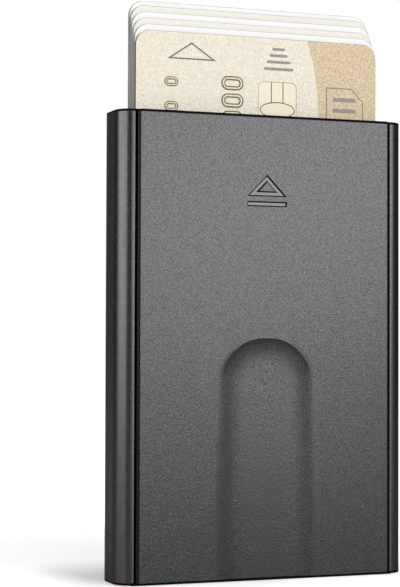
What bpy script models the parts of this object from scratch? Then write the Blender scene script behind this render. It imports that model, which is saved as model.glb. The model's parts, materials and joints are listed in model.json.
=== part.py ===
"""Aluminium card holder with a thumb slider and six cards fanned above its mouth.

The holder is an extruded aluminium shell, open at both ends, with a plastic
panel in a recess on each face. A stepped lifter carries the cards. Its thumb
button rides in a slot behind, and pushes the whole stack out of the mouth.
Metres, +Z up, the front faces -Y, the origin lies under the middle of the base.
"""
import math

import bmesh
import bpy

# Cards: the standard size of a bank card
card_count = 6
card_width = 0.05398
card_height = 0.0856
card_thickness = 0.00076
card_corner_radius = 0.00318
card_gap = 0.0001
card_side_shift = -0.0002

# Fan of the cards: each stands a step higher than the one in front of it
step_rise = 0.0014
last_step_rise = 0.0011

# Contact plate let into the front card, measured on the card's face
plate_width = 0.0085
plate_height = 0.0116
plate_thickness = 0.00025
plate_corner_radius = 0.0012
plate_gap = 0.0001
plate_below_card_top = 0.0092
plate_from_card_right_edge = 0.0185

# Gaps between neighbours
fit_gap = 0.0001
slide_gap = 0.0002
stop_gap = 0.0003
seat_gap = 0.0002
overrun = 0.001

# Chamber in the shell, round the stack of cards
card_side_clearance = 0.00051
front_clearance = 0.00048
back_clearance = 0.00046

# Extruded shell
side_wall = 0.00425
side_corner_width = 0.0030
side_corner_depth = 0.0033
front_web = 0.0009
back_web = 0.0009
rail_width = 0.0035
lip_chamfer = 0.00025
shell_end_bevel = 0.00012
channel_radius = 0.00085
channel_from_side = 0.0016
channel_from_face = 0.0026

# Panels, which stand out of their recesses, and the tape that bonds them
front_panel_thickness = 0.0026
back_panel_thickness = 0.0016
panel_rise = 0.0007
panel_side_gap = 0.00075
panel_edge_bevel = 0.0002
tape_thickness = 0.00014
tape_gap = 0.00008
tape_margin = 0.0015

# Thumb groove in the front panel, open at its lower end
groove_half_width = 0.0100
groove_top = 0.0494
groove_corner_radius = 0.0089
groove_depth = 0.00075
groove_slope_width = 0.0040

# Sunk mark on the front panel: a triangle over a bar, the common sign for push out
mark_foot = 0.0764
mark_half_width = 0.0044
mark_bar = 0.0011
mark_bar_gap = 0.0010
mark_rise = 0.0045
mark_stroke = 0.0010
mark_depth = 0.00015

# Bezel round the mouth, and the cap and its non-slip strip under the base
bezel_plate = 0.00035
cap_plate = 0.0005
pad_thickness = 0.00014
pad_glue_gap = 0.00003
pad_face_margin = 0.00025
mouth_side_clearance = 0.0002
mouth_face_clearance = 0.0003
peg_length = 0.003

# Lifter
lifter_floor = 0.0012
lowered_gap = 0.0005
mouth_margin = 0.0006
lift_travel = 0.024
lifter_face_gap = 0.00006

# Brake springs in the ends of the lifter
spring_leaf = 0.0002
spring_width = 0.0013
spring_height = 0.0048
spring_pocket_depth = 0.0009
spring_pocket_rise = 0.0012

# Thumb slider behind the holder
neck_width = 0.006
neck_height = 0.005
neck_rise = 0.001
slot_corner_radius = 0.0012
button_width = 0.011
button_height = 0.012
button_rise = 0.0009
button_thickness = 0.0009
button_corner_radius = 0.0022
track_gap = 0.0003
dish_margin = 0.0034
dish_depth = 0.0005
dish_slope_width = 0.0016

# Ribbed grip on the button
grip_margin = 0.0006
grip_base = 0.00025
grip_sink = 0.0002
grip_rib_count = 7
grip_rib_width_share = 0.5
grip_end_margin = 0.0016

# Screws that hold the button to the lifter
screw_radius = 0.0006
screw_length = 0.0034
screw_head_radius = 0.00105
screw_head_thickness = 0.0004
screw_from_middle = 0.0015
screw_hole_gap = 0.0001
screw_drive_width = 0.0003
screw_drive_depth = 0.0002

# Liners inside the chamber
liner_thickness = 0.00025
liner_glue_gap = 0.00005
liner_side_margin = 0.003
liner_end_margin = 0.003
liner_from_slot = 0.002

# Fineness of round shapes
corner_steps = 8
groove_corner_steps = 12
groove_slope_steps = 5
round_sides = 16
spring_steps = 10
sharp_angle = math.radians(35)

# Depths worked out from the stack, from the front face to the back
tape_space = tape_thickness + 2 * tape_gap
card_pitch = card_thickness + card_gap
stack_depth = card_count * card_thickness + (card_count - 1) * card_gap
chamber_depth = front_clearance + stack_depth + back_clearance
front_recess_depth = front_panel_thickness - panel_rise + tape_space
back_recess_depth = back_panel_thickness - panel_rise + tape_space
holder_depth = front_recess_depth + front_web + chamber_depth + back_web + back_recess_depth
front_face_y = -holder_depth / 2
back_face_y = holder_depth / 2
front_panel_y = front_face_y - panel_rise
back_panel_y = back_face_y + panel_rise
front_recess_y = front_face_y + front_recess_depth
chamber_front_y = front_recess_y + front_web
chamber_back_y = chamber_front_y + chamber_depth
back_recess_y = chamber_back_y + back_web
stack_front_y = chamber_front_y + front_clearance
stack_back_y = stack_front_y + stack_depth
lifter_front_y = stack_front_y - lifter_face_gap
lifter_back_y = stack_back_y + lifter_face_gap

# Widths worked out from the card
chamber_half_width = card_width / 2 + card_side_clearance
holder_half_width = chamber_half_width + side_wall
recess_half_width = holder_half_width - rail_width
panel_half_width = recess_half_width - panel_side_gap
lifter_half_width = chamber_half_width - slide_gap

# Heights worked out from the lowered stack, with the lifter raised by its travel
fan_rise = (card_count - 2) * step_rise + last_step_rise
lifter_bottom_z = cap_plate + lowered_gap + lift_travel
first_card_z = lifter_bottom_z + lifter_floor + seat_gap
lowered_card_z = first_card_z - lift_travel
holder_height = lowered_card_z + card_height + fan_rise + mouth_margin
shell_bottom_z = cap_plate + fit_gap
shell_top_z = holder_height - bezel_plate - fit_gap

# Slider places worked out from the lifter
neck_bottom_z = lifter_bottom_z + neck_rise
neck_top_z = neck_bottom_z + neck_height
slot_top_z = neck_top_z + stop_gap
button_bottom_z = lifter_bottom_z + button_rise
button_top_z = button_bottom_z + button_height
button_front_y = back_recess_y + slide_gap
button_back_y = button_front_y + button_thickness
track_half_width = button_width / 2 + track_gap
track_top_z = button_top_z + track_gap


def clear_scene():
    for thing in list(bpy.data.objects):
        bpy.data.objects.remove(thing, do_unlink=True)


def make_material(name, colour, roughness, metallic=0.0):
    material = bpy.data.materials.new(name)
    material.use_nodes = True
    shader = material.node_tree.nodes["Principled BSDF"]
    shader.inputs["Base Color"].default_value = (*colour, 1.0)
    shader.inputs["Roughness"].default_value = roughness
    shader.inputs["Metallic"].default_value = metallic
    material.diffuse_color = (*colour, 1.0)
    return material


def make_frame(name, location, parent=None):
    """An empty that carries the pieces of one moving body."""
    frame = bpy.data.objects.new(name, None)
    frame.location = location
    frame.parent = parent
    bpy.context.collection.objects.link(frame)
    return frame


def object_from(bm, name, material=None, frame=None, origin=(0, 0, 0)):
    """Turns a bmesh into an object whose own origin lies at a world point."""
    bmesh.ops.recalc_face_normals(bm, faces=bm.faces)
    base = frame_place(frame)
    bmesh.ops.translate(bm, verts=bm.verts, vec=[-place for place in origin])
    mesh = bpy.data.meshes.new(name)
    bm.to_mesh(mesh)
    bm.free()
    mesh.shade_smooth()
    mesh.set_sharp_from_angle(angle=sharp_angle)
    thing = bpy.data.objects.new(name, mesh)
    thing.parent = frame
    thing.location = [place - start for place, start in zip(origin, base)]
    if material:
        mesh.materials.append(material)
    bpy.context.collection.objects.link(thing)
    return thing


def frame_place(frame):
    """World place of a frame, through the frames that carry it."""
    place = [0, 0, 0]
    while frame:
        place = [own + step for own, step in zip(place, frame.location)]
        frame = frame.parent
    return place


def rounded_rectangle(left, right, low, high, radius, rise=None):
    """Outline with round corners, counter-clockwise from its lower right corner.

    A corner is a quarter circle, or with a rise of its own a quarter ellipse.
    """
    rise = radius if rise is None else rise
    corners = (
        (right - radius, low + rise, -0.5 * math.pi),
        (right - radius, high - rise, 0.0),
        (left + radius, high - rise, 0.5 * math.pi),
        (left + radius, low + rise, math.pi),
    )
    points = []
    for middle_u, middle_v, start in corners:
        for step in range(corner_steps + 1):
            angle = start + 0.5 * math.pi * step / corner_steps
            points.append((middle_u + radius * math.cos(angle), middle_v + rise * math.sin(angle)))
    return points


def rectangle(left, right, low, high):
    return [(left, low), (right, low), (right, high), (left, high)]


def arch(half_width, radius, top, bottom, steps):
    """Outline of a U upside down: straight sides, round shoulders, flat foot."""
    points = [(-half_width, bottom), (half_width, bottom)]
    for step in range(steps + 1):
        angle = 0.5 * math.pi * step / steps
        reach = half_width - radius + radius * math.cos(angle)
        points.append((reach, top - radius + radius * math.sin(angle)))
    for step in range(steps + 1):
        angle = 0.5 * math.pi * (1 + step / steps)
        reach = radius - half_width + radius * math.cos(angle)
        points.append((reach, top - radius + radius * math.sin(angle)))
    return points


def place_point(axis, u, v, w):
    """World point of an outline point (u, v) at height w along the axis."""
    return {"X": (w, u, v), "Y": (u, w, v), "Z": (u, v, w)}[axis]


def prism_mesh(outline, start, end, axis):
    """Closed prism over an outline: XY outline along Z, XZ along Y, YZ along X."""
    bm = bmesh.new()
    foot = [bm.verts.new(place_point(axis, u, v, start)) for u, v in outline]
    face = bm.faces.new(foot)
    lifted = bmesh.ops.extrude_face_region(bm, geom=[face])["geom"]
    moved = [piece for piece in lifted if isinstance(piece, bmesh.types.BMVert)]
    bmesh.ops.translate(bm, verts=moved, vec=place_point(axis, 0, 0, end - start))
    return bm


def loft_mesh(rings):
    """Closed solid through rings of points that match one to one."""
    bm = bmesh.new()
    loops = [[bm.verts.new(point) for point in ring] for ring in rings]
    for lower, upper in zip(loops, loops[1:]):
        for index in range(len(lower)):
            after = (index + 1) % len(lower)
            bm.faces.new((lower[index], lower[after], upper[after], upper[index]))
    bm.faces.new(loops[0])
    bm.faces.new(loops[-1])
    return bm


def add_boolean(target, tool, operation):
    """Lets a hidden tool, drawn in the target's own space, cut it or join it."""
    tool.hide_render = True
    tool.display_type = "WIRE"
    modifier = target.modifiers.new(tool.name, "BOOLEAN")
    modifier.operation = operation
    modifier.solver = "EXACT"
    modifier.object = tool
    return modifier


def tool_from(bm, name):
    return object_from(bm, name)


def cylinder_mesh(radius, centre_u, centre_v, start, end, axis):
    outline = []
    for side in range(round_sides):
        angle = 2 * math.pi * side / round_sides
        outline.append((centre_u + radius * math.cos(angle), centre_v + radius * math.sin(angle)))
    return prism_mesh(outline, start, end, axis)


def bevel_edges(bm, width, wanted, segments=2):
    edges = [edge for edge in bm.edges if all(wanted(vert.co) for vert in edge.verts)]
    bmesh.ops.bevel(bm, geom=edges, offset=width, segments=segments, affect="EDGES", profile=0.5)


def near(value, place):
    return abs(value - place) < fit_gap / 10


def card_rise(index):
    """How far a card stands above the front one."""
    if index == card_count - 1:
        return fan_rise
    return index * step_rise


def holder_outline():
    return rounded_rectangle(-holder_half_width, holder_half_width, front_face_y, back_face_y,
                             side_corner_width, side_corner_depth)


def end_plate_outline():
    """The holder's outline with a step out over each panel's face."""
    half = panel_half_width
    points = holder_outline()
    middle = len(points) // 2
    behind = [(half, back_face_y), (half, back_panel_y), (-half, back_panel_y), (-half, back_face_y)]
    before = [(-half, front_face_y), (-half, front_panel_y), (half, front_panel_y), (half, front_face_y)]
    return points[:middle] + behind + points[middle:] + before


def recess_outline(face_y, floor_y):
    """Mouth of a panel recess, with a chamfered lip on each rail."""
    outwards = math.copysign(overrun, face_y)
    lip_y = face_y - math.copysign(lip_chamfer, face_y)
    wide = recess_half_width + lip_chamfer
    return [(-wide, face_y + outwards), (wide, face_y + outwards), (wide, face_y),
            (recess_half_width, lip_y), (recess_half_width, floor_y),
            (-recess_half_width, floor_y), (-recess_half_width, lip_y), (-wide, face_y)]


def channel_places():
    """The four channels that run the length of the side walls."""
    reach_x = holder_half_width - channel_from_side
    reach_y = holder_depth / 2 - channel_from_face
    return [(side_x * reach_x, side_y * reach_y) for side_x in (-1, 1) for side_y in (-1, 1)]


def make_body_shell(material):
    """Extruded tube with a recess on each face, channels, and the slider's slot."""
    bm = prism_mesh(holder_outline(), shell_bottom_z, shell_top_z, "Z")
    for end_z in (shell_bottom_z, shell_top_z):
        bevel_edges(bm, shell_end_bevel, lambda point, end_z=end_z: near(point.z, end_z), segments=1)
    shell = object_from(bm, "body_shell", material)
    low = shell_bottom_z - overrun
    high = shell_top_z + overrun
    tools = [
        ("cut_front_recess", prism_mesh(recess_outline(front_face_y, front_recess_y), low, high, "Z")),
        ("cut_back_recess", prism_mesh(recess_outline(back_face_y, back_recess_y), low, high, "Z")),
        ("cut_chamber", prism_mesh(rectangle(-chamber_half_width, chamber_half_width,
                                             chamber_front_y, chamber_back_y), low, high, "Z")),
    ]
    for number, (x, y) in enumerate(channel_places(), 1):
        tools.append((f"cut_channel_{number}", cylinder_mesh(channel_radius, x, y, low, high, "Z")))
    slot = arch(neck_width / 2 + slide_gap, slot_corner_radius, slot_top_z, low, corner_steps)
    middle_y = (chamber_front_y + chamber_back_y) / 2
    tools.append(("cut_slot", prism_mesh(slot, middle_y, back_recess_y + overrun, "Y")))
    for name, tool in tools:
        add_boolean(shell, tool_from(tool, name), "DIFFERENCE")


def add_pegs(plate, name, start_z, end_z):
    for number, (x, y) in enumerate(channel_places(), 1):
        peg = cylinder_mesh(channel_radius - fit_gap, x, y, start_z, end_z, "Z")
        add_boolean(plate, tool_from(peg, f"{name}_{number}"), "UNION")


def make_top_bezel(material):
    """Thin frame round the mouth that covers the panels' ends, pegged into the shell's channels."""
    low = holder_height - bezel_plate
    bezel = object_from(prism_mesh(end_plate_outline(), low, holder_height, "Z"), "top_bezel", material)
    reach_x = chamber_half_width - mouth_side_clearance
    mouth = rounded_rectangle(-reach_x, reach_x, stack_front_y - mouth_face_clearance,
                              stack_back_y + mouth_face_clearance, mouth_face_clearance)
    add_boolean(bezel, tool_from(prism_mesh(mouth, low - overrun, holder_height + overrun, "Z"),
                                 "cut_mouth"), "DIFFERENCE")
    add_pegs(bezel, "bezel_peg", low - peg_length, low + bezel_plate / 2)


def make_bottom_cap(material):
    """Thin plate that closes the base, pegged into the same channels."""
    low = pad_thickness + pad_glue_gap
    cap = object_from(prism_mesh(end_plate_outline(), low, cap_plate, "Z"), "bottom_cap", material)
    add_pegs(cap, "cap_peg", (low + cap_plate) / 2, cap_plate + peg_length)


def make_base_pad(material):
    """Thin non-slip strip under the cap, which the holder stands on."""
    reach_x = holder_half_width - side_corner_width
    reach_y = holder_depth / 2 - pad_face_margin
    strip = rectangle(-reach_x, reach_x, -reach_y, reach_y)
    object_from(prism_mesh(strip, 0, pad_thickness, "Z"), "base_pad", material)


def groove_mesh(half_width, radius, top, face_y, depth, slope_width):
    """Tool for a dished groove that runs out at the panel's lower end.

    Its wall starts square at the rim and sweeps into the floor on a quarter
    ellipse, as wide as slope_width and as deep as depth.
    """
    inwards = -math.copysign(1, face_y)
    bottom = shell_bottom_z - overrun
    profile = [(0, -overrun)]
    for step in range(groove_slope_steps + 1):
        angle = 0.5 * math.pi * step / groove_slope_steps
        profile.append((slope_width * (1 - math.cos(angle)), depth * math.sin(angle)))
    rings = []
    for inset, sunk in profile:
        outline = arch(half_width - inset, radius - inset, top - inset, bottom, groove_corner_steps)
        rings.append([(x, face_y + inwards * sunk, z) for x, z in outline])
    return loft_mesh(rings)


def panel_mesh(outer_y, inner_y):
    """Flat panel with a bevel round its outer face."""
    bm = prism_mesh(rectangle(-panel_half_width, panel_half_width, shell_bottom_z, shell_top_z),
                    outer_y, inner_y, "Y")
    bevel_edges(bm, panel_edge_bevel, lambda point: near(point.y, outer_y))
    return bm


def triangle(inset):
    """The mark's triangle, drawn in from each of its sides by an inset."""
    slope = math.atan2(mark_rise, mark_half_width)
    half_width = mark_half_width - inset / math.tan(slope / 2)
    low = mark_foot + mark_bar + mark_bar_gap + inset
    return [(-half_width, low), (half_width, low), (0, low + half_width * math.tan(slope))]


def make_front_panel(material):
    """Panel with the thumb groove and the sunk mark; the triangle leaves an island standing."""
    inner_y = front_panel_y + front_panel_thickness
    panel = object_from(panel_mesh(front_panel_y, inner_y), "front_panel", material)
    groove = groove_mesh(groove_half_width, groove_corner_radius, groove_top, front_panel_y,
                         groove_depth, groove_slope_width)
    add_boolean(panel, tool_from(groove, "cut_groove"), "DIFFERENCE")
    low = front_panel_y - overrun
    high = front_panel_y + mark_depth
    bar = rectangle(-mark_half_width, mark_half_width, mark_foot, mark_foot + mark_bar)
    add_boolean(panel, tool_from(prism_mesh(bar, low, high, "Y"), "cut_mark_bar"), "DIFFERENCE")
    ring = tool_from(prism_mesh(triangle(0), low, high, "Y"), "cut_mark_triangle")
    island = prism_mesh(triangle(mark_stroke), low - overrun, high + overrun, "Y")
    add_boolean(ring, tool_from(island, "mark_island"), "DIFFERENCE")
    add_boolean(panel, ring, "DIFFERENCE")


def make_back_panel(material):
    """Panel with the slider's track, open at its lower end, in a shallow dish."""
    inner_y = back_panel_y - back_panel_thickness
    panel = object_from(panel_mesh(back_panel_y, inner_y), "back_panel", material)
    track_radius = button_corner_radius + track_gap
    dish = groove_mesh(track_half_width + dish_margin, track_radius + dish_margin,
                       track_top_z + dish_margin, back_panel_y, dish_depth, dish_slope_width)
    add_boolean(panel, tool_from(dish, "cut_dish"), "DIFFERENCE")
    track = arch(track_half_width, track_radius, track_top_z, shell_bottom_z - overrun, corner_steps)
    add_boolean(panel, tool_from(prism_mesh(track, inner_y - tape_space / 2, back_panel_y + overrun, "Y"),
                                 "cut_track"), "DIFFERENCE")


def make_tapes(material):
    """Bonding tape behind each panel; the rear one clears the slider's track."""
    half_width = panel_half_width - tape_margin
    low = shell_bottom_z + tape_margin
    high = shell_top_z - tape_margin
    start = front_recess_y - tape_gap - tape_thickness
    front = rectangle(-half_width, half_width, low, high)
    object_from(prism_mesh(front, start, start + tape_thickness, "Y"), "front_tape", material)
    start = back_recess_y + tape_gap
    inner = track_half_width + tape_margin
    crown = track_top_z + tape_margin
    back = [(-half_width, low), (-inner, low), (-inner, crown), (inner, crown), (inner, low),
            (half_width, low), (half_width, high), (-half_width, high)]
    object_from(prism_mesh(back, start, start + tape_thickness, "Y"), "back_tape", material)


def make_liners(material):
    """Thin non-woven strips that keep the cards off the chamber's walls."""
    half_width = card_width / 2 - liner_side_margin
    low = shell_bottom_z + liner_end_margin
    high = shell_top_z - liner_end_margin
    start = chamber_front_y + liner_glue_gap
    front = rectangle(-half_width, half_width, low, high)
    object_from(prism_mesh(front, start, start + liner_thickness, "Y"), "front_liner", material)
    end = chamber_back_y - liner_glue_gap
    inner = neck_width / 2 + slide_gap + liner_from_slot
    for name, side in (("back_liner_left", -1), ("back_liner_right", 1)):
        left, right = sorted((side * inner, side * half_width))
        strip = rectangle(left, right, low, high)
        object_from(prism_mesh(strip, end - liner_thickness, end, "Y"), name, material)


def row_start(index):
    """Where a lifter step begins: midway in the gap in front of its card."""
    if index == 0:
        return lifter_front_y
    return stack_front_y + index * card_pitch - card_gap / 2


def lifter_outline():
    """Stair profile of the lifter, one step under each card."""
    points = [(lifter_back_y, lifter_bottom_z), (lifter_front_y, lifter_bottom_z)]
    for index in range(card_count):
        tread_z = first_card_z + card_rise(index) - seat_gap
        end = row_start(index + 1) if index < card_count - 1 else lifter_back_y
        points.append((row_start(index), tread_z))
        points.append((end, tread_z))
    return points


def screw_places():
    return {"left": -screw_from_middle, "right": screw_from_middle}


def make_lifter(frame, material):
    """Stepped lifter with a spring pocket in each end and two screw holes."""
    bm = prism_mesh(lifter_outline(), -lifter_half_width, lifter_half_width, "X")
    lifter = object_from(bm, "card_lifter", material, frame, frame_place(frame))
    low = lifter_bottom_z + spring_pocket_rise
    high = low + spring_height + 2 * slide_gap
    front = lifter_back_y - spring_width - fit_gap
    for name, side in (("cut_pocket_left", -1), ("cut_pocket_right", 1)):
        ends = sorted((side * (lifter_half_width - spring_pocket_depth),
                       side * (lifter_half_width + overrun)))
        pocket = prism_mesh(rectangle(front, lifter_back_y + overrun, low, high), *ends, "X")
        add_boolean(lifter, tool_from(pocket, name), "DIFFERENCE")
    middle_z = (neck_bottom_z + neck_top_z) / 2
    tip_y = screw_seat_y() - screw_length - fit_gap
    for side, x in screw_places().items():
        hole = cylinder_mesh(screw_radius + screw_hole_gap, x, middle_z, tip_y,
                             lifter_back_y + overrun, "Y")
        add_boolean(lifter, tool_from(hole, f"cut_lifter_hole_{side}"), "DIFFERENCE")


def make_springs(frame, material):
    """Bowed leaves that press on the side walls and hold the lifter where it is put."""
    low = lifter_bottom_z + spring_pocket_rise + slide_gap
    foot_x = lifter_half_width - spring_pocket_depth + fit_gap
    crown_x = chamber_half_width - fit_gap
    bow = crown_x - foot_x - spring_leaf
    start_y = lifter_back_y - spring_width
    for name, side in (("brake_spring_left", -1), ("brake_spring_right", 1)):
        outer = []
        inner = []
        for step in range(spring_steps + 1):
            share = step / spring_steps
            z = low + share * spring_height
            swell = bow * math.sin(math.pi * share)
            outer.append((side * (foot_x + spring_leaf + swell), z))
            inner.append((side * (foot_x + swell), z))
        bm = prism_mesh(outer + inner[::-1], start_y, lifter_back_y, "Y")
        object_from(bm, name, material, frame, (side * foot_x, start_y, low))


def screw_seat_y():
    """Face that the underside of a screw head sits on."""
    return button_back_y - screw_head_thickness - fit_gap


def make_slider_button(frame, material):
    """Flat button behind the holder, with a neck through the slot to the lifter."""
    half = button_width / 2
    plate = rounded_rectangle(-half, half, button_bottom_z, button_top_z, button_corner_radius)
    middle_z = (neck_bottom_z + neck_top_z) / 2
    button = object_from(prism_mesh(plate, button_front_y, button_back_y, "Y"), "slider_button",
                         material, frame, (0, button_front_y, middle_z))
    neck = rounded_rectangle(-neck_width / 2, neck_width / 2, neck_bottom_z, neck_top_z,
                             slot_corner_radius - slide_gap)
    start_y = lifter_back_y + fit_gap
    add_boolean(button, tool_from(prism_mesh(neck, start_y, button_front_y + button_thickness / 2, "Y"),
                                  "button_neck"), "UNION")
    for side, x in screw_places().items():
        hole = cylinder_mesh(screw_radius + screw_hole_gap, x, middle_z, start_y - overrun,
                             button_back_y + overrun, "Y")
        add_boolean(button, tool_from(hole, f"cut_button_hole_{side}"), "DIFFERENCE")
        bore = cylinder_mesh(screw_head_radius + screw_hole_gap, x, middle_z,
                             screw_seat_y() - fit_gap, button_back_y + overrun, "Y")
        add_boolean(button, tool_from(bore, f"cut_head_seat_{side}"), "DIFFERENCE")


def make_screws(frame, material):
    """Slotted screws from the button into the lifter, under the grip."""
    middle_z = (neck_bottom_z + neck_top_z) / 2
    seat_y = screw_seat_y()
    head_y = seat_y + screw_head_thickness
    for side, x in screw_places().items():
        head = cylinder_mesh(screw_head_radius, x, middle_z, seat_y, head_y, "Y")
        screw = object_from(head, f"slider_screw_{side}", material, frame, (x, seat_y, middle_z))
        shank = cylinder_mesh(screw_radius, x, middle_z, seat_y - screw_length,
                              seat_y + screw_head_thickness / 2, "Y")
        add_boolean(screw, tool_from(shank, f"screw_shank_{side}"), "UNION")
        drive = rectangle(x - screw_head_radius - overrun, x + screw_head_radius + overrun,
                          middle_z - screw_drive_width / 2, middle_z + screw_drive_width / 2)
        add_boolean(screw, tool_from(prism_mesh(drive, head_y - screw_drive_depth, head_y + overrun, "Y"),
                                     f"cut_drive_{side}"), "DIFFERENCE")


def grip_outline():
    """Side profile of the grip: a flat base with a row of ribs behind it."""
    base_y = button_back_y + fit_gap
    floor_y = base_y + grip_base
    crown_y = back_panel_y - grip_sink
    low = button_bottom_z + grip_margin
    high = button_top_z - grip_margin
    pitch = (high - low - 2 * grip_end_margin) / grip_rib_count
    rib = pitch * grip_rib_width_share
    points = [(base_y, high), (base_y, low), (floor_y, low)]
    for number in range(grip_rib_count):
        middle = low + grip_end_margin + (number + 0.5) * pitch
        points += [(floor_y, middle - rib / 2), (crown_y, middle - rib / 4),
                   (crown_y, middle + rib / 4), (floor_y, middle + rib / 2)]
    points.append((floor_y, high))
    return points


def make_slider_grip(frame, material):
    """Ribbed pad bonded over the button's face and its screws."""
    half = button_width / 2 - grip_margin
    low = button_bottom_z + grip_margin
    origin = (0, button_back_y + fit_gap, low)
    grip = object_from(prism_mesh(grip_outline(), -half, half, "X"), "slider_grip", material, frame,
                       origin)
    shape = rounded_rectangle(-half, half, low, button_top_z - grip_margin,
                              button_corner_radius - grip_margin)
    keep = prism_mesh(shape, button_back_y - overrun, back_panel_y + overrun, "Y")
    add_boolean(grip, tool_from(keep, "grip_corners"), "INTERSECT")


def card_place(index):
    """Middle of a card's lower edge, on its front face."""
    return (card_side_shift, stack_front_y + index * card_pitch, first_card_z + card_rise(index))


def plate_outline(margin=0):
    right = card_side_shift + card_width / 2 - plate_from_card_right_edge
    high = first_card_z + card_height - plate_below_card_top
    return rounded_rectangle(right - plate_width - margin, right + margin,
                             high - plate_height - margin, high + margin,
                             plate_corner_radius + margin)


def make_card(index, frame, material):
    """One card, standing on its own step of the lifter."""
    x, front_y, low = card_place(index)
    half = card_width / 2
    outline = rounded_rectangle(x - half, x + half, low, low + card_height, card_corner_radius)
    bm = prism_mesh(outline, front_y, front_y + card_thickness, "Y")
    return object_from(bm, f"card_{index + 1}", material, frame, card_place(index))


def make_contact_plate(card, frame, material):
    """Gilt contact plate, let flush into a pocket of the front card."""
    front_y = stack_front_y
    pocket = prism_mesh(plate_outline(plate_gap), front_y - overrun,
                        front_y + plate_thickness + fit_gap, "Y")
    add_boolean(card, tool_from(pocket, "cut_plate_pocket"), "DIFFERENCE")
    bm = prism_mesh(plate_outline(), front_y, front_y + plate_thickness, "Y")
    object_from(bm, "card_1_contact_plate", material, frame, card_place(0))


def make_holder():
    anodised = make_material("anodised_aluminium", (0.045, 0.044, 0.046), 0.36, 1.0)
    grained = make_material("grained_black_plastic", (0.032, 0.031, 0.032), 0.6)
    rear_plastic = make_material("rear_black_plastic", (0.03, 0.03, 0.031), 0.6)
    bezel_plastic = make_material("bezel_plastic", (0.012, 0.012, 0.012), 0.45)
    cap_plastic = make_material("cap_plastic", (0.014, 0.014, 0.014), 0.5)
    tape = make_material("bonding_tape", (0.5, 0.48, 0.42), 0.8)
    felt = make_material("liner_felt", (0.06, 0.06, 0.065), 0.95)
    make_body_shell(anodised)
    make_front_panel(grained)
    make_back_panel(rear_plastic)
    make_top_bezel(bezel_plastic)
    make_bottom_cap(cap_plastic)
    make_base_pad(make_material("pad_rubber", (0.02, 0.02, 0.02), 0.85))
    make_tapes(tape)
    make_liners(felt)


def make_slider():
    """Everything that rises with the lifter, apart from the cards."""
    acetal = make_material("lifter_acetal", (0.05, 0.05, 0.052), 0.4)
    sprung_steel = make_material("spring_steel", (0.6, 0.6, 0.58), 0.3, 1.0)
    button_metal = make_material("button_aluminium", (0.05, 0.05, 0.052), 0.4, 1.0)
    screw_steel = make_material("screw_steel", (0.55, 0.55, 0.55), 0.35, 1.0)
    rubber = make_material("grip_rubber", (0.02, 0.02, 0.02), 0.8)
    frame = make_frame("lifter_frame", (0, (lifter_front_y + lifter_back_y) / 2, lifter_bottom_z))
    make_lifter(frame, acetal)
    make_springs(frame, sprung_steel)
    make_slider_button(frame, button_metal)
    make_screws(frame, screw_steel)
    make_slider_grip(frame, rubber)
    return frame


def make_cards(lifter_frame):
    gold = make_material("card_gold", (0.83, 0.75, 0.6), 0.4)
    white = make_material("card_white", (0.9, 0.9, 0.89), 0.4)
    cream = make_material("card_cream", (0.87, 0.82, 0.72), 0.4)
    gilt = make_material("contact_gilt", (0.85, 0.66, 0.38), 0.3, 1.0)
    start = lifter_frame.location
    for index in range(card_count):
        place = card_place(index)
        local = [own - base for own, base in zip(place, start)]
        frame = make_frame(f"card_{index + 1}_frame", local, lifter_frame)
        material = gold if index == 0 else (cream if index % 2 == 0 else white)
        card = make_card(index, frame, material)
        if index == 0:
            make_contact_plate(card, frame, gilt)


def main():
    clear_scene()
    make_holder()
    make_cards(make_slider())


main()
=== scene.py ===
# %% [markdown]
# # A card holder, dressed for the camera
# The object is a slim aluminium tube with a black plastic panel let into each face.
# Six bank cards stand in its mouth like a fan, because a thumb slider behind has
# pushed them up. The CAD model fixes every size. This script only adds what the eye
# sees: fine edges, a moulded groove, grain, print, and the light of a small studio.

import json
import math

import bpy
from mathutils import Matrix, Quaternion, Vector


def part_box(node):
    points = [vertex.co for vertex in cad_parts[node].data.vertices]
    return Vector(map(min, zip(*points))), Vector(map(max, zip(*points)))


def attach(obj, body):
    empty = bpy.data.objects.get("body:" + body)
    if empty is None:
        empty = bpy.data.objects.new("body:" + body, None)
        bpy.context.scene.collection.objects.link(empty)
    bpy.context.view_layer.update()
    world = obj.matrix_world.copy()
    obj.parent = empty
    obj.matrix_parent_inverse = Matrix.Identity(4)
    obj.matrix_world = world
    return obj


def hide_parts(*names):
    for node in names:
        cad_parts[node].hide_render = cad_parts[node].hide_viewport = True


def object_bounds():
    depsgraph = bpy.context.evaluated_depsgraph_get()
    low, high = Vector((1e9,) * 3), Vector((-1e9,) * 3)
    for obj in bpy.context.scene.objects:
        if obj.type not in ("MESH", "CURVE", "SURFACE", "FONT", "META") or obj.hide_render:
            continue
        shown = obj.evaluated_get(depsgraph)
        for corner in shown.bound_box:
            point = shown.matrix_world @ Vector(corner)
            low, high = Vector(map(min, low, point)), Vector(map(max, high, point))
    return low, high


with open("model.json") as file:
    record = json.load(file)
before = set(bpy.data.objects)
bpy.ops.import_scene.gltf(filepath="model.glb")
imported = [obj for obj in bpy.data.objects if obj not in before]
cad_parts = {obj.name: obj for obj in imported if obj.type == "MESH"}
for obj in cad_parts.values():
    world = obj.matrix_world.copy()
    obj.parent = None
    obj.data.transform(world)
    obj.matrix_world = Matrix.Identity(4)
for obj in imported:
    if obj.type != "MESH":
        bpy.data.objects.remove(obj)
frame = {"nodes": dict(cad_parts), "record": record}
cad_low, cad_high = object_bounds()
mm = 0.001
print("CAD box in mm:", [round(side / mm, 2) for side in cad_high - cad_low])

# %% [markdown]
# ## Tools for working as by hand
# Every piece starts as a primitive. An operator acts on whatever is selected, so
# the first helper clears the selection and takes one piece in hand. The next ones
# add a block between two corners, and select edges or faces by where they lie.

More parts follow.
